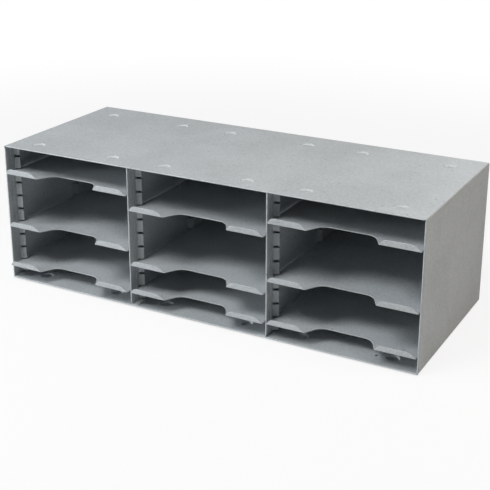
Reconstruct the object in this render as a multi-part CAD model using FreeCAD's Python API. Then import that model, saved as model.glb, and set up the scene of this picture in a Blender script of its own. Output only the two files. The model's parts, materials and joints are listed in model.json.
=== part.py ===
import FreeCAD, Part
import math
import os

# Desk-top sorting rack of folded sheet steel. Three columns stand side by side between two
# dividers, and thin shelves slide into slotted rails on the walls of each column.
# Millimetres. X runs across the front, Y from the front to the back, Z up from the table.

# Housing
housing_width = 788.0
housing_depth = 312.0
housing_height = 254.0
column_count = 3
housing_sheet = 1.2
fold_radius = 2.0
hem_depth = 7.5
hem_corner_gap = 4.0
bottom_flange = 16.0
back_flange = 12.0
divider_flange = 13.0
fit_gap = 0.3
corner_slit_width = 1.0
corner_slit_height = 12.0

# Round dimples pressed into the floor and the top, which lock stacked racks together
dimple_radius = 11.3
dimple_spacing = 158.0
dimple_front_row = 32.0
dimple_back_row = 260.0
foot_drop = 2.5
foot_clearance = 0.5
floor_hole_radius = 2.3
floor_hole_offset = 53.0
floor_hole_setback = 26.5

# Slotted rails
rail_sheet = 0.8
rail_rise = 9.8
rail_lean = 5.2
rail_flange = 8.0
rail_end_gap = 3.2
front_rail_setback = 23.4
back_rail_setback = 190.0
slot_count = 9
slot_pitch = 25.0
slot_height = 3.0
slots_above_middle = 1.5

# Shelves
shelf_sheet = 1.0
shelf_side_gap = 3.0
shelf_back_gap = 2.0
shelf_overhang = 3.0
shelf_corner_cut = 4.0
lip_width = 67.0
lip_rise = 11.5
lip_lean = 4.5
lip_end_slope = 8.0
lip_shoulder_radius = 15.0
lip_fold_radius = 0.5
notch_depth = 29.5
notch_taper = 17.0
notch_radius = 22.0

# Slot in which each shelf of a column sits, counted from the lowest slot
shelf_slots = {1: {"bottom": 0, "middle": 3, "top": 7},
               2: {"bottom": 0, "middle": 2, "top": 6},
               3: {"bottom": 0, "middle": 3, "top": 7}}

# How far a shelf stands forward of the others, as it was left
shelf_pulled = {(1, "bottom"): 5.0, (2, "bottom"): 2.5}

# Levels and planes that follow from the sizes above
x_axis = FreeCAD.Vector(1, 0, 0)
y_axis = FreeCAD.Vector(0, 1, 0)
z_axis = FreeCAD.Vector(0, 0, 1)
column_pitch = housing_width / column_count
front_reach = shelf_overhang + lip_lean + max(shelf_pulled.values())
front = (front_reach - housing_depth) / 2
back = front + housing_depth
flange_underside = foot_drop
floor_underside = flange_underside + housing_sheet
floor_top = floor_underside + housing_sheet
top = flange_underside + housing_height
ceiling = top - housing_sheet
hem_underside = ceiling - housing_sheet
fold_inside = fold_radius - housing_sheet / 2
behind_hem = front + hem_depth + fit_gap
mid_height = (flange_underside + top) / 2
lowest_slot = mid_height + slots_above_middle - slot_pitch * (slot_count - 1) / 2
rail_height = ceiling - floor_top - 2 * rail_end_gap
shelf_width = column_pitch - 1.5 * housing_sheet - 2 * shelf_side_gap
shelf_depth = housing_depth + shelf_overhang - housing_sheet - shelf_back_gap
lip_fold_run = lip_fold_radius * math.tan(math.atan2(lip_rise, lip_lean) / 2)


def offset_run(points, distance, normal):
    """Move a run of points sideways, to its left as seen against normal, with mitred corners."""
    moved = []
    for place, point in enumerate(points):
        sides = []
        for a, b in ((place - 1, place), (place, place + 1)):
            if a >= 0 and b < len(points):
                sides.append(normal.cross(points[b] - points[a]).normalize())
        middle = sum(sides[1:], sides[0]).normalize()
        moved.append(point + middle * (distance / middle.dot(sides[0])))
    return moved


def rounded_run(points, radii):
    """Lines through the points, with an arc of the given radius at each inner point."""
    edges = []
    start = points[0]
    for place in range(1, len(points) - 1):
        into = (points[place] - points[place - 1]).normalize()
        out = (points[place + 1] - points[place]).normalize()
        radius = radii[place - 1]
        turn = into.getAngle(out)
        if radius > 0 and turn > 1e-6:
            first = points[place] - into * (radius * math.tan(turn / 2))
            last = points[place] + out * (radius * math.tan(turn / 2))
            inward = (out - into).normalize()
            centre = points[place] + inward * (radius / math.cos(turn / 2))
            edges.append(Part.LineSegment(start, first).toShape())
            edges.append(Part.Arc(first, centre - inward * radius, last).toShape())
            start = last
        else:
            edges.append(Part.LineSegment(start, points[place]).toShape())
            start = points[place]
    edges.append(Part.LineSegment(start, points[-1]).toShape())
    return edges


def rounded_face(points, radii):
    """Flat face with its corners rounded, starting and ending halfway along one side."""
    start = (points[0] + points[-1]) / 2
    return Part.Face(Part.Wire(rounded_run([start] + points + [start], radii)))


def folded_section(points, sheet, radius, normal):
    """Cross-section of a sheet folded along its middle line, sharply where the radius is 0."""
    runs = []
    for side in (1, -1):
        radii = []
        for place in range(1, len(points) - 1):
            turn = (points[place] - points[place - 1]).cross(points[place + 1] - points[place])
            inner = 1 if turn.dot(normal) * side > 0 else -1
            radii.append(radius - inner * sheet / 2 if radius else 0)
        runs.append((offset_run(points, side * sheet / 2, normal), radii))
    left, left_radii = runs[0]
    right, right_radii = runs[1]
    edges = rounded_run(left, left_radii)
    edges.append(Part.LineSegment(left[-1], right[-1]).toShape())
    edges.extend(rounded_run(right[::-1], right_radii[::-1]))
    edges.append(Part.LineSegment(right[0], left[0]).toShape())
    return Part.Face(Part.Wire(edges))


def block(x_span, y_span, z_span):
    """Rectangular block between two planes on each axis."""
    low = FreeCAD.Vector(min(x_span), min(y_span), min(z_span))
    size = FreeCAD.Vector(max(x_span), max(y_span), max(z_span)) - low
    return Part.makeBox(size.x, size.y, size.z, low)


def hem(origin, across, along, length):
    """Front edge folded back flat on itself: two plies with a full round nose."""
    nose = housing_sheet
    corners = [origin + y_axis * nose,
               origin + y_axis * hem_depth,
               origin + y_axis * hem_depth + across * 2 * nose,
               origin + y_axis * nose + across * 2 * nose]
    edges = [Part.LineSegment(a, b).toShape() for a, b in zip(corners, corners[1:])]
    edges.append(Part.Arc(corners[3], origin + across * nose, corners[0]).toShape())
    return Part.Face(Part.Wire(edges)).extrude(along * length)


def dimple_places():
    """Middle of each dimple: a pair in every column, in a front and a back row."""
    places = []
    for column in range(1, column_count + 1):
        for side in (-1, 1):
            for row in (dimple_front_row, dimple_back_row):
                x = column_middle(column) + side * dimple_spacing / 2
                places.append(FreeCAD.Vector(x, front + row, 0))
    return places


def press_dimples(panel, surface, radius, depth):
    """Press flat-bottomed round dimples of the given inner radius down into a flat panel."""
    cups = []
    hollows = []
    for place in dimple_places():
        bottom = place + z_axis * (surface - depth)
        cups.append(Part.makeCylinder(radius + housing_sheet, depth,
                                      bottom - z_axis * housing_sheet))
        hollows.append(Part.makeCylinder(radius, depth, bottom))
    return panel.multiFuse(cups).cut(hollows)


def wall_plane(wall):
    """Middle of a wall's sheet, counting walls from the left side, which is 0."""
    inset = housing_sheet / 2
    return min(max(wall * column_pitch, inset), housing_width - inset) - housing_width / 2


def column_middle(column):
    """Middle of the clear width of a column."""
    return (wall_plane(column - 1) + wall_plane(column)) / 2


def make_wrapper():
    """Top and both sides, one sheet folded into a U, with flanges turned in under the floor."""
    half = (housing_width - housing_sheet) / 2
    low = flange_underside + housing_sheet / 2
    high = top - housing_sheet / 2
    inner = half + housing_sheet / 2 - bottom_flange
    ply = front + housing_sheet
    run = [FreeCAD.Vector(x, ply, z) for x, z in
           ((-inner, low), (-half, low), (-half, high), (half, high), (half, low), (inner, low))]
    section = folded_section(run, housing_sheet, fold_radius, y_axis)
    body = section.extrude(y_axis * (back - ply))

    # The sheet runs on to the front at the two top corners, between the hems
    outer = housing_width / 2
    corner_sheet = section.extrude(y_axis * (fit_gap - housing_sheet))
    corners = [corner_sheet.common(block((side * outer, side * (outer - hem_corner_gap)),
                                         (front, ply), (top - hem_corner_gap, top)))
               for side in (-1, 1)]
    hems = [hem(FreeCAD.Vector(hem_corner_gap - outer, front, top), -z_axis, x_axis,
                housing_width - 2 * hem_corner_gap)]
    for side in (-1, 1):
        hems.append(hem(FreeCAD.Vector(side * outer, front, flange_underside), x_axis * -side,
                        z_axis, housing_height - hem_corner_gap))

    # The flanges start behind the hems, and a slit frees each bottom front corner
    cuts = []
    for side in (-1, 1):
        cuts.append(block((side * (outer - 2 * housing_sheet), 0), (front, front + hem_depth),
                          (flange_underside, floor_underside)))
        cuts.append(block((side * outer, side * (outer - housing_sheet)),
                          (ply, ply + corner_slit_width),
                          (flange_underside, flange_underside + corner_slit_height)))
    shell = body.multiFuse(corners + hems).cut(cuts)
    return press_dimples(shell, top, dimple_radius, foot_drop + fit_gap).removeSplitter()


def make_floor():
    """Flat floor on the flanges of the sides, with its front edge hemmed under.

    Its dimples are the feet, and fit into the dimples in the top of a rack below.
    """
    inner = housing_width / 2 - housing_sheet
    half = inner - fold_inside
    between_hems = inner - housing_sheet - fit_gap
    ply = front + housing_sheet
    sheet = block((-half, half), (behind_hem, back), (floor_underside, floor_top))
    tongue = block((-between_hems, between_hems), (ply, behind_hem), (floor_underside, floor_top))
    edge = hem(FreeCAD.Vector(-between_hems, front, floor_top), -z_axis, x_axis,
               2 * between_hems)
    hole = Part.makeCylinder(floor_hole_radius, housing_sheet,
                             FreeCAD.Vector(column_middle(column_count) + floor_hole_offset,
                                            front + floor_hole_setback, floor_underside))
    panel = sheet.multiFuse([tongue, edge]).cut(hole)
    foot_radius = dimple_radius - foot_clearance - housing_sheet
    depth = floor_top - housing_sheet
    return press_dimples(panel, floor_top, foot_radius, depth).removeSplitter()


def make_back():
    """Back panel, a shallow pan whose flanges turn forward inside the sides, top and floor."""
    outer = housing_width / 2 - housing_sheet
    half = outer - housing_sheet / 2
    low = floor_top + housing_sheet / 2
    high = ceiling - housing_sheet / 2
    plate_y = back - housing_sheet / 2
    tip = back - back_flange
    corner = fold_radius + housing_sheet

    upright = [FreeCAD.Vector(x, y, floor_top + corner) for x, y in
               ((-half, tip), (-half, plate_y), (half, plate_y), (half, tip))]
    level = [FreeCAD.Vector(corner - outer, y, z) for y, z in
             ((tip, low), (plate_y, low), (plate_y, high), (tip, high))]
    sides = folded_section(upright, housing_sheet, 0, z_axis)
    ends = folded_section(level, housing_sheet, 0, x_axis)
    pan = sides.extrude(z_axis * (ceiling - floor_top - 2 * corner))
    return pan.fuse(ends.extrude(x_axis * (2 * (outer - corner)))).removeSplitter()


def make_divider(wall):
    """Upright divider, a channel with its flanges on the floor and under the top.

    The dividers are handed: flanges point to the right on the odd ones and to the left on
    the even ones, and the hem of the front edge lies on the other side.
    """
    side = 1 if wall % 2 else -1
    x = wall_plane(wall)
    ply = front + housing_sheet
    behind = back - housing_sheet - fit_gap
    low = floor_top + housing_sheet / 2
    high = ceiling - housing_sheet / 2
    reach = x + side * (divider_flange - housing_sheet / 2)
    run = [FreeCAD.Vector(a, ply, b) for a, b in
           ((reach, low), (x, low), (x, high), (reach, high))]
    body = folded_section(run, housing_sheet, 0, y_axis).extrude(y_axis * (behind - ply))
    hem_foot = floor_top + hem_corner_gap
    edge = hem(FreeCAD.Vector(x + side * housing_sheet / 2, front, hem_foot),
               x_axis * -side, z_axis, hem_underside - hem_foot)

    # The corners clear the hem of the top in front and the flanges of the back panel behind
    clear = housing_sheet + fit_gap
    rear = (back - back_flange - fit_gap, back)
    across = (x - divider_flange, x + divider_flange)
    notches = [block(across, (front, behind_hem), (hem_underside - fit_gap, ceiling)),
               block(across, rear, (floor_top, floor_top + clear)),
               block(across, rear, (ceiling - clear, ceiling))]
    return body.fuse(edge).cut(notches).removeSplitter()


def make_rail(wall, side, setback):
    """Upright rail with a leaning, narrow-nosed rib, cut across by the slots for the shelves."""
    face = wall_plane(wall) + side * housing_sheet / 2
    bottom = floor_top + rail_end_gap
    rib_start = front + setback
    rib_end = rib_start + 2 * rail_lean
    root = rail_sheet / 2
    crest = rail_rise - root / math.sin(math.atan2(rail_lean, rail_rise))
    run = [FreeCAD.Vector(face + side * rise, y, bottom)
           for rise, y in ((root, rib_start - rail_flange),
                           (root, rib_start),
                           (crest, rib_start + rail_lean),
                           (root, rib_end),
                           (root, rib_end + rail_flange))]
    rail = folded_section(run, rail_sheet, 0, z_axis).extrude(z_axis * rail_height)
    slots = []
    for slot in range(slot_count):
        middle = lowest_slot + slot * slot_pitch
        slots.append(block((face + side * rail_sheet, face + side * (rail_rise + rail_sheet)),
                           (rib_start - rail_sheet, rib_end + rail_sheet),
                           (middle - slot_height / 2, middle + slot_height / 2)))
    return rail.cut(slots).removeSplitter()


def shelf_outline():
    """Flat plan of a shelf from the fold of its lips back, with the finger notch in front."""
    half = shelf_width / 2
    open_half = half - lip_width
    shut_half = open_half - notch_taper
    side_end = shelf_depth - shelf_corner_cut
    back_half = half - shelf_corner_cut
    corners = [(half, lip_fold_run), (half, side_end), (back_half, shelf_depth),
               (-back_half, shelf_depth), (-half, side_end), (-half, lip_fold_run),
               (-open_half, lip_fold_run), (-shut_half, notch_depth),
               (shut_half, notch_depth), (open_half, lip_fold_run)]
    radii = [0, 0, 0, 0, 0, 0, 0, notch_radius, notch_radius, 0]
    return rounded_face([FreeCAD.Vector(x, y, 0) for x, y in corners], radii)


def make_lip(side):
    """Leaning lip beside the finger notch, with sloping ends and rounded shoulders."""
    outer = side * shelf_width / 2
    inner = outer - side * lip_width
    middle = shelf_sheet / 2
    run = [FreeCAD.Vector(inner, y, z) for y, z in
           ((2 * lip_fold_run, middle), (0, middle), (-lip_lean, lip_rise))]
    strip = folded_section(run, shelf_sheet, lip_fold_radius, x_axis)
    strip = strip.extrude(x_axis * (outer - inner))
    rise = lip_rise + shelf_sheet
    slope = side * lip_end_slope
    front_view = [(inner, 0), (inner, middle), (inner + slope, rise),
                  (outer - slope, rise), (outer, middle), (outer, 0)]
    radii = [0, 0, lip_shoulder_radius, lip_shoulder_radius, 0, 0]
    ahead = -lip_lean - shelf_sheet
    outline = rounded_face([FreeCAD.Vector(x, ahead, z) for x, z in front_view], radii)
    return strip.common(outline.extrude(y_axis * (3 * lip_fold_run - ahead)))


def make_shelf(column, level):
    """Thin shelf that rests in one slot of each of the four rails of its column."""
    plate = shelf_outline().extrude(z_axis * shelf_sheet)
    shelf = plate.multiFuse([make_lip(-1), make_lip(1)]).removeSplitter()
    slot = lowest_slot + shelf_slots[column][level] * slot_pitch
    forward = shelf_overhang + shelf_pulled.get((column, level), 0)
    shelf.translate(FreeCAD.Vector(column_middle(column), front - forward,
                                   slot - slot_height / 2 + fit_gap))
    return shelf


def make_nodes():
    """Every piece of the rack by name."""
    nodes = {"wrapper": make_wrapper(), "floor_panel": make_floor(), "back_panel": make_back()}
    for wall in range(1, column_count):
        nodes["divider_%d" % wall] = make_divider(wall)
    for column in range(1, column_count + 1):
        for hand, wall, side in (("left", column - 1, 1), ("right", column, -1)):
            for place, setback in (("front", front_rail_setback), ("back", back_rail_setback)):
                name = "rail_%d_%s_%s" % (column, hand, place)
                nodes[name] = make_rail(wall, side, setback)
        for level in shelf_slots[column]:
            nodes["shelf_%d_%s" % (column, level)] = make_shelf(column, level)
    return nodes


os.makedirs("parts", exist_ok=True)
for node, shape in make_nodes().items():
    shape.exportStep("parts/%s.step" % node)
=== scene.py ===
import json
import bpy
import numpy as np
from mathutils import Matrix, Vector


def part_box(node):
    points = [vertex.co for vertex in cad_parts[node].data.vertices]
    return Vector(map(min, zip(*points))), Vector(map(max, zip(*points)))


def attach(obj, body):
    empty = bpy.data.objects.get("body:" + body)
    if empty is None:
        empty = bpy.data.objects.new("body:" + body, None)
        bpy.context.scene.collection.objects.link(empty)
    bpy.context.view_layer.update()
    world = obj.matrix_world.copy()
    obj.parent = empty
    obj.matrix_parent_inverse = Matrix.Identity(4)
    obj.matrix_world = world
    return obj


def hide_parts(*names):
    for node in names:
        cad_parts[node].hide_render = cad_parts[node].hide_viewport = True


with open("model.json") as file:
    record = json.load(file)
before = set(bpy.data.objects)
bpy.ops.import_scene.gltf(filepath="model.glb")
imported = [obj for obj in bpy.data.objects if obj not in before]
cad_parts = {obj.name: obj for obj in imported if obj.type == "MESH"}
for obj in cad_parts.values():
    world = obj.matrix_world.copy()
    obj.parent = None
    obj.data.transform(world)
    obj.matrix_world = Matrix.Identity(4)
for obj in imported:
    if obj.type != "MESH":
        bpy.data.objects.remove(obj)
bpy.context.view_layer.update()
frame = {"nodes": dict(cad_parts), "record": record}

# %% [markdown]
# # A sorting rack of folded sheet steel
# The real rack is made of flat steel blanks that are punched, pressed and folded, and then
# powder coated. Bevelled boxes would be quicker, but they have no hems and no round folds, so the
# maker's own order is used here. Each piece starts as a flat grid of cells, cells are left out
# where the blank is punched, and a function folds the grid into its place. A blank that is folded
# in code keeps one even thickness round every bend, which a modelled solid often loses.
# Lengths are in millimetres until they go into a mesh.

low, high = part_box("wrapper")
left, front, under = (value * 1000 for value in low)
right, back, top = (value * 1000 for value in high)
floor_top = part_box("floor_panel")[1].z * 1000

# The real sheet is 1.2 mm thick. It is drawn at 1.14 mm, so that sheets that lie on each other
# never share a face.
full_sheet = 1.2
housing_sheet = 1.14
ceiling = top - full_sheet
hem_height = 2 * full_sheet - housing_sheet
hem_depth = 7.5
hem_gap = 0.3
ply = front + full_sheet
print("housing in mm:", [round(v, 2) for v in (left, right, front, back, under, top)])

# %% [markdown]
# ## A line with round folds
# A bend in sheet metal is an arc between two straight runs. A bevel on a sharp corner would make
# the same arc, but it would stretch the sheet. Walking along the sheet and asking for the place
# at each distance gives the fold its true length, so cells never stretch.

# %% Walk along a folded line


def folded_line(corners, radius):
    """Straight runs through the corners, joined by arcs, as a function of the length walked.

    The heading is h + walked * bend, where bend is 0 on a run and 1 / radius in a fold. The step
    made is walked * sinc(turned) ahead and walked * sinc(turned / 2) * sin(turned / 2) aside,
    with turned = walked * bend, which is the chord of an arc and also holds for a straight run.
    Returns the function, and the lengths at which runs and folds meet.
    """
    runs = np.diff(np.array(corners, float), axis=0)
    headings = np.arctan2(runs[:, 1], runs[:, 0])
    turns = (np.diff(headings) + np.pi) % (2 * np.pi) - np.pi
    trims = radius * np.tan(abs(turns) / 2)
    spans = np.zeros(2 * len(runs) - 1)
    spans[::2] = np.hypot(runs[:, 0], runs[:, 1]) - np.append(trims, 0) - np.append(0, trims)
    spans[1::2] = radius * abs(turns)
    bends = np.zeros(len(spans))
    bends[1::2] = np.sign(turns) / radius
    starts_at = np.append(0, np.cumsum(spans))
    heads = headings[0] + np.append(0, np.cumsum(spans * bends)[:-1])

    def step(length, head, bend):
        turned = length * bend
        ahead = length * np.sinc(turned / np.pi)
        aside = length * np.sinc(turned / (2 * np.pi)) * np.sin(turned / 2)
        return np.stack([ahead * np.cos(head) - aside * np.sin(head),
                         ahead * np.sin(head) + aside * np.cos(head)], -1)

    places = np.cumsum(step(spans, heads, bends), axis=0)
    places = np.array(corners[0]) + np.vstack([[0, 0], places[:-1]])

    def walk(length):
        span = np.clip(np.searchsorted(starts_at, length, side="right") - 1, 0, len(spans) - 1)
        beyond = length - starts_at[span]
        place = places[span] + step(beyond, heads[span], bends[span])
        return place[..., 0], place[..., 1], heads[span] + bends[span] * beyond

    return walk, starts_at


_, test_stops = folded_line([(0, 0), (10, 0), (10, 10)], 2)
print("a right-angled fold of radius 2 shortens 20 mm to", round(float(test_stops[-1]), 3))

# %% [markdown]
# ## The lines of a grid
# A blank is ruled with lines before it is cut. They could be evenly spaced, but then folds would
# be coarse and flats too fine. Here each stretch gets its own number of cells, so lines crowd
# only where the sheet bends or is cut.

# %% Rule lines across a blank


def lines(start, *legs):
    """Grid lines from a start; each leg gives where it ends and how many cells lead there."""
    marks = [np.array([float(start)])]
    for end, cells in legs:
        marks.append(np.linspace(marks[-1][-1], end, cells + 1)[1:])
    return np.concatenate(marks)


def mirrored(marks):
    """The given lines, which start at 0, and the same ones on the other side of it."""
    marks = np.array(marks)
    return np.concatenate([-marks[:0:-1], marks])


def add_rings(marks, features, cells):
    """Go on with lines through features, pairs of a place and its rings' offsets from it.

    The stretch before each feature gets the given number of cells. Doubled lines are dropped.
    """
    for place, offsets in features:
        stretch = lines(marks[-1], (place + offsets[0], cells))[1:-1]
        marks = np.concatenate([marks, stretch, place + offsets])
    return marks[np.append(True, np.diff(marks) > 1e-6)]


def nearest(marks, value):
    """Number of the grid line that lies closest to a value."""
    return int(np.argmin(abs(marks - value)))


def cell_middles(across, along):
    """Middles of a grid's cells, across it as a column and along it as a row."""
    return (across[1:] + across[:-1])[:, None] / 2, (along[1:] + along[:-1])[None, :] / 2


print("lines from 0 to 10 and on to 12:", lines(0, (10, 2), (12, 4)))

# %% [markdown]
# ## Round features in a square grid
# A dimple or a hole in a grid of squares would have a stepped rim, and a boolean would leave long
# thin triangles. The square rings of cells round its middle are therefore moved out into circles,
# and fade back into squares further out.

# %% Turn square rings of cells into circles


def round_block(x, y, centre, column, row, rings, hold):
    """Move the rings of cells round grid point (column, row) onto circles about the centre.

    Ring k gets radius rings[k]. Its points keep an eighth of a turn for every k cells: on the
    sides x = r cos(pi/4 * j/k) and y = r sin(pi/4 * j/k), and above and below the other way
    round. Full circles reach ring `hold`, and then fade in equal steps to the square block.
    Returns the distance of the moved points from the centre, and the block they fill.
    """
    count = len(rings) - 1
    i, j = np.meshgrid(*[np.arange(-count, count + 1)] * 2, indexing="ij")
    ring = np.maximum(abs(i), abs(j))
    wide = abs(i) >= abs(j)
    swing = np.pi / 4 * np.where(wide, j, i) / np.maximum(ring, 1)
    radius = np.array(rings)[ring]
    round_x = centre[0] + radius * np.where(wide, np.sign(i) * np.cos(swing), np.sin(swing))
    round_y = centre[1] + radius * np.where(wide, np.sin(swing), np.sign(j) * np.cos(swing))
    fade = np.clip((count - ring) / (count - hold), 0, 1)
    block = (slice(column - count, column + count + 1), slice(row - count, row + count + 1))
    x[block] += fade * (round_x - x[block])
    y[block] += fade * (round_y - y[block])
    return np.hypot(x[block] - centre[0], y[block] - centre[1]), block


dimple_rings = [0, 3.0, 5.6, 7.6, 8.8, 9.6, 10.2, 10.8, 11.4, 12.0, 12.8, 15.0, 19.0]
dimple_round = 10  # the ring out to which its circles are full
dimple_offsets = mirrored(dimple_rings)
dimple_reach = dimple_rings[-1]
print(len(dimple_offsets) - 1, "cells across a dimple")

# %% [markdown]
# ## The dimples
# Round dimples are pressed into the top and the floor. The floor's come out below as feet, and
# they nest in the top of a rack below. A displacement by a picture would blur their rims, so the
# depth is a formula of the distance from the middle. The steepness of the wall is kept as well,
# because the walls are painted paler there, a painted highlight where the light catches them.

# %% Press dimples
column_pitch, dimple_step, front_row, back_row = 262.367, 79, 32, 260
dimple_x = [side * column_pitch + step
            for side in (-1, 0, 1) for step in (-dimple_step, dimple_step)]
dimple_y = [front + front_row, front + back_row]


def pressed(distance, inner, outer, depth):
    """Depth of a pressed dimple: flat inside, and 3s^2 - 2s^3 up the wall to its rim.

    The second result is 4s(1 - s), which is 1 halfway up the wall and 0 on the flats.
    """
    share = np.clip((outer - distance) / (outer - inner), 0, 1)
    return depth * share * share * (3 - 2 * share), 4 * share * (1 - share)


def press_dimples(x, y, columns, rows, inner, outer, depth):
    """Depth and wall share at each grid point, for the dimples at all the columns and rows.

    Columns and rows are pairs of the dimple's place and the number of its grid line.
    """
    press, wall = np.zeros(x.shape), np.zeros(x.shape)
    for place_x, column in columns:
        for place_y, row in rows:
            distance, block = round_block(x, y, (place_x, place_y), column, row, dimple_rings,
                                          dimple_round)
            here, steep = pressed(distance, inner, outer, depth)
            press[block] = np.maximum(press[block], here)
            wall[block] = np.maximum(wall[block], steep)
    return press, wall


print(len(dimple_x) * len(dimple_y), "dimples in the top and as many in the floor")

# %% [markdown]
# ## From a folded grid to sheet metal
# The real sheet is about a millimetre thick, with edges that the paint has rounded a little. Both
# faces could be built in the grid, but modifiers do it for any outline. Solidify gives the grid
# its thickness to both sides, a narrow bevel softens the cut edges, and weighted normals keep the
# flat faces flat between the bevels.

# %% Make a sheet-metal piece from a grid of points


def sheet_piece(name, x, y, z, kept, thickness, edge=0.16, **values):
    """Mesh of the kept cells of a grid of points in mm, as sheet of the given thickness.

    Each further value is an array over the grid, which the paint can read by its name.
    """
    numbers = np.arange(x.size).reshape(x.shape)
    cells = np.stack([numbers[:-1, :-1], numbers[1:, :-1], numbers[1:, 1:], numbers[:-1, 1:]],
                     -1)[kept]
    used, cells = np.unique(cells, return_inverse=True)
    points = np.stack([x.ravel()[used], y.ravel()[used], z.ravel()[used]], -1) / 1000
    mesh = bpy.data.meshes.new(name)
    mesh.from_pydata(points, [], cells.reshape(-1, 4))
    mesh.polygons.foreach_set("use_smooth", np.ones(len(mesh.polygons), bool))
    for title, value in values.items():
        mesh.attributes.new(title, "FLOAT", "POINT").data.foreach_set(
            "value", value.ravel()[used].astype(np.float32))
    piece = bpy.data.objects.new(name, mesh)
    bpy.context.scene.collection.objects.link(piece)
    solid = piece.modifiers.new("thickness", "SOLIDIFY")
    solid.thickness, solid.offset, solid.use_even_offset = thickness / 1000, 0, True
    bevel = piece.modifiers.new("edges", "BEVEL")
    bevel.width, bevel.segments, bevel.limit_method = edge / 1000, 2, "ANGLE"
    bevel.angle_limit, bevel.use_clamp_overlap = np.radians(50), False
    piece.modifiers.new("shading", "WEIGHTED_NORMAL")
    print(name, len(mesh.polygons), "cells")
    return piece


pieces = {}

# %% [markdown]
# ## The hem
# Every front edge of the housing is folded back flat on itself, which hides the sharp cut edge
# and gives the front its 2.4 mm wide rounded rim. It could be a strip set behind the edge, but
# then the rim would show a seam. In the blank it is only some more length.

# %% Path of the hemmed front edge, as depth under the outer ply over y
hem_walk, hem_stops = folded_line([(front + hem_depth, hem_height),
                                   (front + housing_sheet / 2, hem_height),
                                   (front + housing_sheet / 2, 0), (back, 0)], hem_height / 2)
nose_start, nose_middle, nose_end = hem_stops[[1, 2, 4]]
sheet_end = hem_stops[-1]


def at_y(y):
    """Length along the hemmed sheet at which its outer ply reaches y."""
    return sheet_end - (back - y)


def row_lines(*legs):
    """Lines from the tip of the hem over its nose and on to the back."""
    return lines(0, (nose_start, 3), (nose_end, 10), *legs)


print("the nose takes", round(float(nose_end - nose_start), 2), "mm of sheet")

# %% [markdown]
# ## The wrapper
# One sheet makes the top and both sides, and turns in under the floor. It could be three plates
# put together, but the rounded long edges and the even paint over them show one folded sheet.
# So its width is one folded line, ruled from the middle of the top down to both tips.

# %% The wrapper's folded profile
half_width = right - housing_sheet / 2
low_z, high_z = under + housing_sheet / 2, top - housing_sheet / 2
turned_in = 16
fold = 2.03
wrap_walk, wrap_stops = folded_line(
    [(turned_in - right, low_z), (-half_width, low_z), (-half_width, high_z),
     (half_width, high_z), (half_width, low_z), (right - turned_in, low_z)], fold)
middle = wrap_stops[-1] / 2
top_fold, side_start, side_end, flange_start, tip = wrap_stops[5:] - middle


def down_side(level):
    """Length from the middle of the top down to a level on the side."""
    return side_start + high_z - fold - level


print("the blank is", round(float(2 * middle), 1), "mm wide")

# %% Rule the wrapper and press its dimples
relief = 0.35
top_clear, side_clear = 4.0, 3.9
slit_height, slit_width = 12, 1
dimple_inner, dimple_outer, dimple_depth = 9.5, 12.0, 2.8
flat_levels = (200, 100)
corner_side, hem_side = down_side(top - side_clear), down_side(top - side_clear - relief)
slit_start, slit_back = down_side(under + slit_height), at_y(ply + slit_width)
half_lines = add_rings(lines(0, (dimple_x[3] - dimple_reach, 3)),
                       [(place, dimple_offsets) for place in dimple_x[3:]], 5)
half_lines = np.concatenate([half_lines, lines(
    half_lines[-1], (right - top_clear - relief, 3), (right - top_clear, 1), (top_fold, 1),
    (side_start, 8), (corner_side, 1), (hem_side, 1),
    *[(down_side(level), 3) for level in flat_levels],
    (slit_start, 3), (side_end, 1), (flange_start, 8), (tip, 3))[1:]])
across = middle + mirrored(half_lines)
along = add_rings(row_lines((slit_back, 1), (at_y(front + hem_depth), 1),
                            (at_y(dimple_y[0]) - dimple_reach, 3)),
                  [(at_y(place), dimple_offsets) for place in dimple_y], 6)
along = np.concatenate([along, lines(along[-1], (sheet_end, 5))[1:]])

t, s = np.meshgrid(across, along, indexing="ij")
dimple_rows = [(at_y(place), nearest(along, at_y(place))) for place in dimple_y]
dimple_columns = [(middle + place, nearest(across, middle + place)) for place in dimple_x]
press, wall = press_dimples(t, s, dimple_columns, dimple_rows, dimple_inner, dimple_outer,
                            dimple_depth)
print(t.shape, "grid points in the wrapper")

# %% [markdown]
# ### Its corners
# A real hem can't run round a corner, so it stops short of the two top corners, where the rim is
# a single ply, and a slit frees it from each bottom fold. The sheet is first folded everywhere,
# and then the few rows at the corners are pulled straight and the slits are left out.

# %% Fold the wrapper
x, z, heading = wrap_walk(t)
y, depth, _ = hem_walk(s)
from_middle = abs(t - middle)
in_corner = ((from_middle > right - top_clear - relief / 2)
             & (from_middle < (corner_side + hem_side) / 2))
y = np.where(in_corner & (s < nose_end),
             np.interp(s, [nose_middle, nose_end], [front, ply]), y)
depth = np.where(in_corner, 0, depth)
below = (s < (nose_end + slit_back) / 2) & (from_middle > side_end)
drop = (from_middle - side_end) * (low_z + fold - under) / (flange_start - side_end)
x = np.where(below, np.sign(x) * half_width, x)
z = np.where(below, low_z + fold - drop, z)
heading = np.where(below, np.where(t < middle, np.pi / 2, -np.pi / 2), heading)
x = x + np.sin(heading) * (depth + press)
z = z - np.cos(heading) * (depth + press)
print("folded size:", [round(float(np.ptp(values)), 1) for values in (x, y, z)])

# %% Cut the wrapper
cell_t, cell_s = cell_middles(across, along)
cell_m = abs(cell_t - middle)
corner = (cell_m > right - top_clear) & (cell_m < corner_side)
cut = (((cell_m > right - top_clear - relief) & (cell_m < right - top_clear))
       | ((cell_m > corner_side) & (cell_m < hem_side))) & (cell_s < nose_end)
cut |= corner & (cell_s < nose_middle)
cut |= (cell_m > flange_start) & (cell_s < at_y(front + hem_depth))
cut |= (cell_m > slit_start) & (cell_s > nose_end) & (cell_s < slit_back)
# The dimples' wall share goes to the paint, which paints their walls paler: a painted highlight.
pieces["wrapper"] = sheet_piece("wrapper_sheet", x, y, z, ~cut, housing_sheet, stretched=wall)
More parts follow.
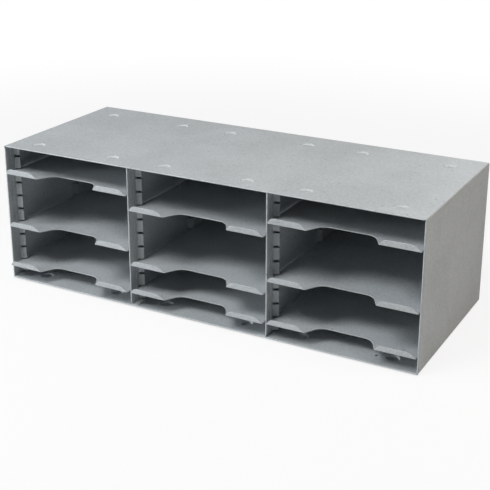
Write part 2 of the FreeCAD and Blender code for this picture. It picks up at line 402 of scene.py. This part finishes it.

# %% [markdown]
# ## The floor
# A flat panel with its front edge hemmed under. Its dimples go down further than those of the
# top, because they are the feet. One small round hole is punched in the right-hand column. It
# could be drawn in the paint, but the edge of a real hole catches the light. Its cut edge is
# painted near black, a painted shade for the dark hollow under it.

# %% Hem and press the floor
hole_x, hole_y, hole_radius = 315.4, front + 26.5, 2.3
hole_rings = [0, 0.8, 1.6, hole_radius, 2.5, 3.2, 4.4]
hole_cells, hole_round, rim_play = 3, 4, 0.1
floor_half = right - 2.7
foot_inner, foot_outer = 9.3, 11.5
features = sorted([(place, dimple_offsets) for place in dimple_x]
                  + [(hole_x, mirrored(hole_rings))], key=lambda feature: feature[0])
across = add_rings(np.array([-floor_half]), features, 4)
across = np.concatenate([across, lines(across[-1], (floor_half, 3))[1:]])
t, s = np.meshgrid(across, along, indexing="ij")
foot_columns = [(place, nearest(across, place)) for place in dimple_x]
press, wall = press_dimples(t, s, foot_columns, dimple_rows, foot_inner, foot_outer,
                            floor_top - housing_sheet)
column, row = nearest(across, hole_x), nearest(along, at_y(hole_y))
from_hole, block = round_block(t, s, (hole_x, at_y(hole_y)), column, row, hole_rings,
                               hole_round)
# The hole's cut edge is painted near black: a painted shade.
bare = np.zeros(t.shape)
bare[block] = from_hole < hole_radius + rim_play
y, depth, _ = hem_walk(s)
z = floor_top - housing_sheet / 2 - depth - press
kept = np.ones((len(across) - 1, len(along) - 1), bool)
kept[column - hole_cells:column + hole_cells, row - hole_cells:row + hole_cells] = False
# The feet's walls get the same paler paint, a painted highlight.
pieces["floor_panel"] = sheet_piece("floor_sheet", t, y, z, kept, housing_sheet, stretched=wall,
                                    bare=bare)

# %% [markdown]
# ## The back
# A shallow pan: a flat plate whose four edges turn forward. It could be a box with one side
# missing, but its corners are notched out. So at any kept cell only one of the two directions is
# folded, and the two folds simply add up.

# %% Fold the back panel
pan_flange, pan_fold = 12, 1.8
plate, rim = back - housing_sheet / 2, back - pan_flange
pan_half = right - full_sheet - housing_sheet / 2
pan_low, pan_high = floor_top + full_sheet / 2, ceiling - full_sheet / 2
pan_walk_x, stops_x = folded_line([(-pan_half, rim), (-pan_half, plate), (pan_half, plate),
                                   (pan_half, rim)], pan_fold)
pan_walk_z, stops_z = folded_line([(rim, pan_low), (plate, pan_low), (plate, pan_high),
                                   (rim, pan_high)], pan_fold)
across, along = (lines(0, (stops[1], 2), (stops[2], 6), (stops[3], cells), (stops[4], 6),
                       (stops[5], 2)) for stops, cells in ((stops_x, 24), (stops_z, 10)))
t, s = np.meshgrid(across, along, indexing="ij")
x, y_side, _ = pan_walk_x(t)
y_end, z, _ = pan_walk_z(s)
cell_t, cell_s = cell_middles(across, along)
kept = (((cell_t > stops_x[2]) & (cell_t < stops_x[3]))
        | ((cell_s > stops_z[2]) & (cell_s < stops_z[3])))
pieces["back_panel"] = sheet_piece("back_sheet", x, y_side + y_end - plate, z, kept,
                                   housing_sheet)

# %% [markdown]
# ## The dividers
# Each is a channel with a hemmed front edge. They are handed: the flanges of the left one point
# right, and those of the right one point left. Mirroring one mesh would turn its faces inside
# out, so one function makes both from a side of 1 or -1. The top corner stays clear of the
# wrapper's hem, and the rear corners clear of the pan's flanges.

# %% Fold the dividers
divider_flange, divider_fold = 13, 1.6
web_levels = (90, 170)
pan_clear, rear_gap, front_clear, foot_clear = pan_flange + hem_gap, 1.5, 1.5, 4


def divider_piece(node, side):
    """Upright channel. Its profile in x and z is folded, and its front edge follows the hem."""
    near, far = (value * 1000 for value in (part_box(node)[0].x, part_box(node)[1].x))
    tip_x = far if side > 0 else near
    web = tip_x - side * (divider_flange - housing_sheet / 2)
    low_z, high_z = floor_top + housing_sheet / 2, ceiling - housing_sheet / 2
    walk, stops = folded_line([(tip_x, low_z), (web, low_z), (web, high_z), (tip_x, high_z)],
                              divider_fold)
    up = stops[2] - (low_z + divider_fold)
    foot = floor_top + foot_clear + up
    hem_end, flange_front = (at_y(front + hem_depth + gap) for gap in (hem_gap, 2 * hem_gap))
    across = lines(0, (stops[1], 3), (stops[2], 6), (foot, 1),
                   *[(level + up, 3) for level in web_levels],
                   (stops[3], 3), (stops[4], 6), (stops[5], 3))
    along = row_lines((hem_end, 3), (flange_front, 1), (at_y(back - pan_clear), 16),
                      (at_y(back - rear_gap), 2))
    t, s = np.meshgrid(across, along, indexing="ij")
    x, z, _ = walk(t)
    y, depth, _ = hem_walk(s)
    above = (s < (hem_end + flange_front) / 2) & (t > stops[3])
    reach = ceiling - front_clear - (high_z - divider_fold)
    rise = (t - stops[3]) * reach / (stops[4] - stops[3])
    x = np.where(above, web, x) - side * depth
    z = np.where(above, high_z - divider_fold + rise, z)
    cell_t, cell_s = cell_middles(across, along)
    cut = (cell_s < nose_end) & (cell_t < foot)
    cut |= (cell_s < flange_front) & (cell_t > stops[4])
    cut |= (cell_s > hem_end) & (cell_s < flange_front) & (cell_t > stops[3])
    cut |= (cell_s > at_y(back - pan_clear)) & ((cell_t < stops[2]) | (cell_t > stops[3]))
    return sheet_piece(node + "_sheet", x, y, z, ~cut, housing_sheet)


pieces["divider_1"] = divider_piece("divider_1", 1)
pieces["divider_2"] = divider_piece("divider_2", -1)

# %% [markdown]
# ## The slotted rails
# A strip is folded into a narrow rib between two flanges, and cut across by nine slots that hold
# the shelves' edges. Slots cut through a finished rib by a boolean would spoil its even cells.
# They are punched out of the flat strip as whole cells instead, so their edges follow the rib.
# A narrow band round each slot is painted near black, a painted shade for the dark hollow of the
# rib behind it.

# %% Fold and slot the rails
slot_levels = 31.0 + 25 * np.arange(9)
# The shade band is the width of the painted shade round each slot.
slot_half, bare_band = 1.5, 0.4
rail_sheet, rail_edge, rib_half, nose_radius = 0.8, 0.12, 5.2, 1.3


def rail_piece(node, side):
    """Rail along z: flange, flank, round nose, flank and flange as one folded line in plan."""
    low, high = (corner * 1000 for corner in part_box(node))
    face = low.x if side > 0 else high.x
    centre, root = (low.y + high.y) / 2, rail_sheet / 2
    crest = (high.x - low.x) - root
    flank = np.arctan2(rib_half, crest)
    peak = crest + nose_radius * (1 / np.sin(flank) - 1)
    walk, stops = folded_line([(low.y, root), (centre - rib_half, root), (centre, peak),
                               (centre + rib_half, root), (high.y, root)], nose_radius)
    across = lines(0, (stops[1], 3), (stops[2], 5), (stops[3], 3), (stops[4], 12),
                   (stops[5], 3), (stops[6], 5), (stops[7], 3))
    legs = []
    for level in slot_levels:
        under, over = level - slot_half, level + slot_half
        legs += [(under - 2 * bare_band, 3), (under - bare_band, 1), (under, 1),
                 (over, 1), (over + bare_band, 1), (over + 2 * bare_band, 1)]
    along = lines(low.z, *legs, (high.z, 3))
    t, z = np.meshgrid(across, along, indexing="ij")
    y, rise, _ = walk(t)
    from_slot = abs(z - slot_levels[:, None, None]).min(0) - slot_half
    # Painted shade: a near-black band round each slot.
    bare = (from_slot < 1.5 * bare_band) & (t > stops[1]) & (t < stops[6])
    cell_t, cell_z = cell_middles(across, along)
    in_slot = (abs(cell_z - slot_levels[:, None, None]) < slot_half).any(0)
    rib = (cell_t > stops[1]) & (cell_t < stops[6])
    return sheet_piece(node + "_strip", face + side * rise, y, z, ~(in_slot & rib), rail_sheet,
                       rail_edge, bare=bare)


for node in sorted(frame["nodes"]):
    if node.startswith("rail"):
        pieces[node] = rail_piece(node, 1 if "left" in node else -1)

# %% [markdown]
# ## The shelves
# Each is one flat blank with a wide finger notch in front. The two tabs beside the notch are bent
# up and forward into leaning lips with rounded shoulders. Cut out of a plate by booleans, the
# rounded notch and the bend would need many faces. The outline is drawn as one curve in the flat
# instead, rows of cells follow it, and the bend lifts the part in front of the fold line.

# %% The shelf's outline and its bend
shelf_half, shelf_depth, back_corner = 127.433, 311.8, 4
shelf_sheet, shelf_edge = 1.0, 0.14
lip_lean, lip_rise, lip_width, lip_fold = 4.5, 11.0, 67.0, 1.4
lip_slope, lip_corner, shoulder_radius, lip_foot = 9, 7.5, 15, 0.5
notch_depth, notch_taper, notch_radius = 29.5, 17, 22


def rounded_curve(corners, radius, samples=1500):
    """Values of a rounded line as a function of its first coordinate."""
    walk, stops = folded_line(corners, radius)
    x, value, _ = walk(np.linspace(0, stops[-1], samples))
    order = np.argsort(x)
    return lambda place: np.interp(place, x[order], value[order])


lip_inner = shelf_half - lip_width
lip_slant = np.hypot(lip_lean, lip_rise)
notch_edge = rounded_curve([(-1, notch_depth), (lip_inner - notch_taper, notch_depth),
                            (lip_inner, 0)], notch_radius)
lip_edge = rounded_curve([(lip_inner, lip_foot), (lip_inner + lip_slope, lip_slant),
                          (shelf_half - lip_corner, lip_slant), (shelf_half, lip_foot)],
                         shoulder_radius)
bend_walk, bend_stops = folded_line([(shelf_depth, shelf_sheet / 2), (0, shelf_sheet / 2),
                                     (-lip_lean, shelf_sheet / 2 + lip_rise)], lip_fold)
bend_start, bend_end = shelf_depth - bend_stops[1], shelf_depth - bend_stops[2]
print("a lip is", round(float(lip_slant), 2), "mm high along its slope")

# %% Cut and bend the shelves
hole_side, hole_back, small_rings, small_cells = 118.7, 147, [0, 0.9, 1.8, 2.8, 4.0], 2
curl_share = 0.6

# Lines crowd at the notch's curve, the lips' slopes and shoulders, and the two small holes.
half_shelf = lines(0, (30.7, 6), (50, 12), (lip_inner, 9), (lip_inner + 18, 20),
                   (shelf_half - 16, 4), (shelf_half - 3.8, 14), (shelf_half, 6))
depth_shares = lines(0, (bend_start / shelf_depth, 3), (0.02, 2), (0.12, 4), (0.44, 6),
                     (0.46, 3), (0.485, 7), (0.51, 3), (0.9, 6), (1, 4))


def shelf_piece(node):
    """Flat blank between its front outline and its back edge, bent up in front of the fold.

    Over the plate a point lies at front + share * (back - front). Over a lip it lies at
    -share * reach, in a near part that follows the bend and a far part that is straight.
    """
    low, high = (corner * 1000 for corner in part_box(node))
    across = mirrored(half_shelf)
    place = abs(across)
    front_edge = np.where(place < lip_inner, notch_edge(place), 0)
    back_edge = shelf_depth - np.clip(place - (shelf_half - back_corner), 0, back_corner)
    plate = front_edge[:, None] + (back_edge - front_edge)[:, None] * depth_shares[None, :]
    reach = np.where(place > lip_inner - 1e-6, lip_edge(place), lip_foot)
    curl = np.minimum(-bend_end, reach * curl_share)
    near = curl[:, None] * np.linspace(0, 1, 5)[None, 1:]
    far = curl[:, None] + (reach - curl)[:, None] * np.linspace(0, 1, 8)[None, 1:]
    lip = -np.concatenate([near, far], 1)[:, ::-1]
    s = np.concatenate([lip, plate], 1)
    x = np.repeat(across[:, None], s.shape[1], 1)
    kept = np.ones((len(across) - 1, s.shape[1] - 1), bool)
    kept[(place[1:] + place[:-1]) / 2 < lip_inner, :lip.shape[1]] = False
    for hole_x in (-hole_side, hole_side):
        column = nearest(across, hole_x)
        row = nearest(s[column], hole_back)
        round_block(x, s, (hole_x, hole_back), column, row, small_rings, small_cells)
        kept[column - small_cells:column + small_cells,
             row - small_cells:row + small_cells] = False
    y, z, _ = bend_walk(shelf_depth - s)
    centre = (low.x + high.x) / 2
    return sheet_piece(node + "_sheet", x + centre, y + high.y - shelf_depth, z + low.z, kept,
                       shelf_sheet, shelf_edge)


for node in sorted(frame["nodes"]):
    if node.startswith("shelf"):
        pieces[node] = shelf_piece(node)

# %% [markdown]
# ## Shader maths in plain expressions
# Paint is worked out by nodes, and wiring them one by one hides the formula. A wrapped socket
# adds its own nodes when it is used in a sum or a product, so a finish reads as a formula.
# Everything that isn't simple maths comes from one method that makes any node.

# %% A socket that can be added and multiplied


class Value:
    """An output socket of a node tree, which can be added, subtracted and multiplied."""

    def __init__(self, tree, socket):
        self.tree, self.socket = tree, socket

    def node(self, kind, settings=(), output=0, **inputs):
        """Any node: settings first, then its inputs by name or number, as values or links."""
        node = self.tree.nodes.new(kind)
        for key, value in dict(settings).items():
            setattr(node, key, value)
        for key, value in inputs.items():
            key = int(key[1:]) if key[0] == "_" else key.replace("_", " ")
            if isinstance(value, Value):
                self.tree.links.new(value.socket, node.inputs[key])
            else:
                node.inputs[key].default_value = value
        return Value(self.tree, node.outputs[output])

    def maths(self, operation, a, b=0.0):
        """A Math node with one or two inputs."""
        return self.node("ShaderNodeMath", {"operation": operation}, _0=a, _1=b)

    def __add__(self, other):
        return self.maths("ADD", self, other)

    def __sub__(self, other):
        return self.maths("SUBTRACT", self, other)

    def __rsub__(self, other):
        return self.maths("SUBTRACT", other, self)

    def __mul__(self, other):
        return self.maths("MULTIPLY", self, other)

    __radd__, __rmul__ = __add__, __mul__

    def band(self, low, high):
        """0 below low, 1 above high, and smooth between them."""
        return self.node("ShaderNodeMapRange", {"interpolation_type": "SMOOTHSTEP"}, Value=self,
                         From_Min=low, From_Max=high)

    def noise(self, scale, detail=2.0, roughness=0.5):
        """Noise at the place that this value holds, with cells of about 1 / scale."""
        return self.node("ShaderNodeTexNoise", Vector=self, Scale=scale, Detail=detail,
                         Roughness=roughness)

    def blend(self, first, second):
        """Colour between two others, with this value as the share of the second."""
        return self.node("ShaderNodeMix", {"data_type": "RGBA"}, 2, _0=self, _6=first, _7=second)


print("shader expressions ready")

# %% [markdown]
# ## Powder-coat paint
# The whole rack has one light grey powder coat. Powder melts into a skin that is rippled like
# orange peel and carries a fine speckle. A single grey would look like plastic, and a picture of
# paint would repeat, so three sizes of noise make the tone. A few small pits dot it, the dimple
# walls are painted paler as a painted highlight, and the punched edges round the slots and the
# hole are painted near black as painted shade. The shelves have faint rubbed tracks from front
# to back, where things are slid in and out.

# %% Paint for the housing, the rails and the shelves
# The highlight share and tint paint the dimple walls paler: a painted highlight.
grain_share, pit_share, highlight_share, track_share = 0.72, 0.5, 0.8, 0.35
darker, paler, pit_tint, highlight_tint, track_tint = 0.78, 1.22, 0.45, 1.55, 1.10
# Near-black colour of the painted shade round the slots and the floor's hole.
bare_steel = (0.06, 0.06, 0.06, 1)
track_scale = (90.0, 2.0, 90.0)


def powder_coat(name, colour, rubbed):
    """Paint whose tone is cloud + mottle + speckle, with a rippled skin and uneven gloss."""

    def tint(strength):
        """The paint's colour, made darker or paler by a factor."""
        return tuple(value * strength for value in colour) + (1,)

    material = bpy.data.materials.new(name)
    material.use_nodes = True
    tree = material.node_tree
    tree.nodes.clear()
    place = Value(tree, tree.nodes.new("ShaderNodeTexCoord").outputs["Object"])
    # Cells of about 11 cm, 4 mm and 0.7 mm
    cloud = place.noise(9.0, 3.0)
    mottle = place.noise(260.0, 3.0, 0.6)
    speckle = place.noise(1500.0, 1.0)
    grain = mottle.band(0.3, 0.7) * 0.6 + speckle.band(0.35, 0.65) * 0.4
    tone = grain * grain_share + cloud.band(0.3, 0.7) * (1 - grain_share)
    paint = tone.blend(tint(darker), tint(paler))
    pit = place.noise(150.0, 0.0).band(0.80, 0.84)
    paint = (pit * pit_share).blend(paint, tint(pit_tint))
    # Dimple walls painted paler: a painted highlight.
    wall_highlight = place.node("ShaderNodeAttribute", {"attribute_name": "stretched"}, "Fac")
    paint = (wall_highlight * highlight_share).blend(paint, tint(highlight_tint))
    # Punched edges painted near black: a painted shade.
    bare = place.node("ShaderNodeAttribute", {"attribute_name": "bare"}, "Fac")
    paint = bare.blend(paint, bare_steel)
    rough = 0.46 + 0.10 * mottle + 0.06 * cloud
    if rubbed:
        track = place.node("ShaderNodeVectorMath", {"operation": "MULTIPLY"}, _0=place,
                           _1=track_scale)
        streak = track.noise(1.0, 4.0, 0.6).band(0.52, 0.78)
        paint = (streak * track_share).blend(paint, tint(track_tint))
        rough = rough - streak * 0.10
    ripple = place.noise(420.0, 2.0) * 0.7 + speckle * 0.3
    skin = place.node("ShaderNodeBump", Strength=0.35, Distance=0.00006, Height=ripple)
    shader = place.node("ShaderNodeBsdfPrincipled", Base_Color=paint, Roughness=rough,
                        Normal=skin, Specular_IOR_Level=0.3)
    surface = tree.nodes.new("ShaderNodeOutputMaterial")
    tree.links.new(shader.socket, surface.inputs["Surface"])
    print(name, len(tree.nodes), "nodes")
    return material


paints = {"housing_paint": powder_coat("housing_paint", (0.415, 0.440, 0.455), False),
          "rail_paint": powder_coat("rail_paint", (0.400, 0.425, 0.440), False),
          "shelf_paint": powder_coat("shelf_paint", (0.430, 0.455, 0.470), True)}

# %% [markdown]
# ## Putting the pieces on their bodies
# On the real rack only the shelves move. Pieces could be parented by hand, but each one here
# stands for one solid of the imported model, so the model's own list says which body carries it: a
# shelf slides and the housing stays.

# %% Ride, replace and paint
bodies = frame["record"]["behaviour"]["bodies"]
body_of = {node: body for body, nodes in bodies.items() for node in nodes}
for node, piece in pieces.items():
    slot = ("rail_paint" if node.startswith("rail") else
            "shelf_paint" if node.startswith("shelf") else "housing_paint")
    piece.data.materials.append(paints[slot])
    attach(piece, body_of[node])
    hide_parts(node)

# %% [markdown]
# ## The studio floor
# The rack stands on a ground that looks white in the photograph, with only a faint shadow. More
# light would whiten it, but would bleach the rack too. Instead the floor is matt and pale for the
# light on the rack, and mostly plain white for the rays that show a background. Under the rack
# it stays matt, so that no white shines through the floor's hole, and far off it turns fully
# white, so that no horizon shows.

# %% Floor
floor_reach, floor_grey = 14.0, 0.82
# White grows to its full strength between 0.9 and 2.2 m off, and the matt patch's edge is 12 mm
near_white, white_from, white_by, edge_fade = 0.85, 0.9, 2.2, 0.012


def seen_rays(tree):
    """1 for the rays that show a background: to the camera, in gloss or through glass."""
    path = tree.nodes.new("ShaderNodeLightPath")
    camera, glossy, through = (Value(tree, path.outputs[title]) for title in
                               ("Is Camera Ray", "Is Glossy Ray", "Is Transmission Ray"))
    return camera.maths("MAXIMUM", camera.maths("MAXIMUM", camera, glossy), through)


pale = bpy.data.materials.new("studio_floor")
pale.use_nodes = True
pale.node_tree.nodes.clear()
floor_mesh = bpy.data.meshes.new("studio_floor")
floor_mesh.from_pydata([(-floor_reach, -floor_reach, 0), (floor_reach, -floor_reach, 0),
                        (floor_reach, floor_reach, 0), (-floor_reach, floor_reach, 0)],
                       [], [(0, 1, 2, 3)])
floor_mesh.materials.append(pale)
studio_floor = bpy.data.objects.new("studio_floor", floor_mesh)
bpy.context.scene.collection.objects.link(studio_floor)
print("floor reaches", floor_reach, "m each way")

# %% The floor's two looks
seen = seen_rays(pale.node_tree)
here = Value(pale.node_tree, pale.node_tree.nodes.new("ShaderNodeTexCoord").outputs["Object"])


def past_edge(side, middle, half):
    """1 outside the strip of floor that lies within half of the middle, and 0 inside it."""
    along = here.node("ShaderNodeSeparateXYZ", {}, side, Vector=here) - middle
    return along.maths("ABSOLUTE", along).band(half - edge_fade, half)


beside = past_edge(0, 0.0, right / 1000)
ahead = past_edge(1, (front + back) / 2000, (back - front) / 2000)
outside = beside.maths("MAXIMUM", beside, ahead)
distance = here.node("ShaderNodeVectorMath", {"operation": "LENGTH"}, "Value", _0=here)
whiteness = near_white + (1 - near_white) * distance.band(white_from, white_by)
matt = seen.node("ShaderNodeBsdfDiffuse", Color=(floor_grey, floor_grey, floor_grey, 1))
white = seen.node("ShaderNodeEmission", Color=(1, 1, 1, 1), Strength=1.0)
both = seen.node("ShaderNodeMixShader", _0=seen * outside * whiteness, _1=matt, _2=white)
surface = pale.node_tree.nodes.new("ShaderNodeOutputMaterial")
pale.node_tree.links.new(both.socket, surface.inputs["Surface"])
print(len(pale.node_tree.nodes), "nodes in the floor")

# %% [markdown]
# ## The studio light
# The rack is lit by soft boxes, with a bright one high in front and weaker ones low down that
# reach into the compartments. A bright sky would be simpler, but it fills every shadow, and the
# dark depth of the compartments is what makes the shelves stand out. The world therefore gives
# almost no light, and is white only where it is seen, also in gloss and through glass.

# %% World: white where it is seen, dim to the rack
world = bpy.data.worlds.new("studio")
bpy.context.scene.world = world
world.use_nodes = True
world.node_tree.nodes.clear()
seen = seen_rays(world.node_tree)
dim = seen.node("ShaderNodeBackground", Color=(0.90, 0.95, 1.0, 1), Strength=0.03)
bright = seen.node("ShaderNodeBackground", Color=(1, 1, 1, 1), Strength=1.0)
mixed = seen.node("ShaderNodeMixShader", _0=seen, _1=dim, _2=bright)
surface = world.node_tree.nodes.new("ShaderNodeOutputWorld")
world.node_tree.links.new(mixed.socket, surface.inputs["Surface"])
print("world set")

# %% Lamps
from mathutils import Vector

lamp_aim = Vector((0, 0, 0.12))


def soft_box(name, azimuth, elevation, distance, size, power, colour):
    """Square area lamp that faces the rack; azimuth 0 is in front of it and 90 at its right.

    Angles are in degrees, distance and size in metres, and power in watts.
    """
    around, above = np.radians(azimuth), np.radians(elevation)
    away = Vector((np.sin(around) * np.cos(above), -np.cos(around) * np.cos(above),
                   np.sin(above)))
    lamp = bpy.data.lights.new(name, "AREA")
    lamp.shape, lamp.size, lamp.energy, lamp.color = "SQUARE", size, power, colour
    holder = bpy.data.objects.new(name, lamp)
    holder.location = away * distance + lamp_aim
    holder.rotation_euler = away.to_track_quat("Z", "Y").to_euler()
    holder.visible_camera = False
    bpy.context.scene.collection.objects.link(holder)


# Name, azimuth, elevation, distance, size, power, colour
soft_box("key", -20, 55, 2.6, 1.0, 39, (0.98, 0.99, 1.0))
soft_box("overhead", 0, 85, 2.6, 1.2, 8, (0.90, 0.96, 1.0))
soft_box("low_left", -60, 8, 2.0, 0.3, 20, (0.91, 0.97, 1.0))
soft_box("low_front", -20, 2, 2.6, 0.36, 10, (0.98, 0.99, 1.0))
soft_box("high_right", 80, 50, 1.5, 0.6, 7, (1.0, 0.91, 0.81))
soft_box("low_right", 95, 20, 2.6, 0.8, 3, (1.0, 0.78, 0.56))
soft_box("behind", 180, 10, 2.6, 0.8, 13, (0.94, 0.97, 1.0))
print("lamps set")

# %% [markdown]
# ## The camera
# The rack is seen from above its right front corner. Its upright edges look upright in the
# photograph, as a lens shows them that is shifted far. A large shift would do the same here, but
# other views keep the shift, and the rack would be off their middle. So the camera looks down and
# keeps only a small shift.

# %% Camera
aside, before, above = 0.8723, 1.4326, 0.8126
looking_down, turned_left = 19.26, 28.53
lens = bpy.data.cameras.new("camera")
lens.sensor_width, lens.lens, lens.shift_y = 36.0, 80.35, -0.1
camera = bpy.data.objects.new("camera", lens)
camera.location = (aside, front / 1000 - before, above)
camera.rotation_euler = (np.radians(90 - looking_down), 0, np.radians(turned_left))
bpy.context.scene.collection.objects.link(camera)
bpy.context.scene.camera = camera
bpy.context.scene.view_settings.view_transform = "Standard"
print("camera", round(camera.location.length, 2), "m from the middle of the rack")
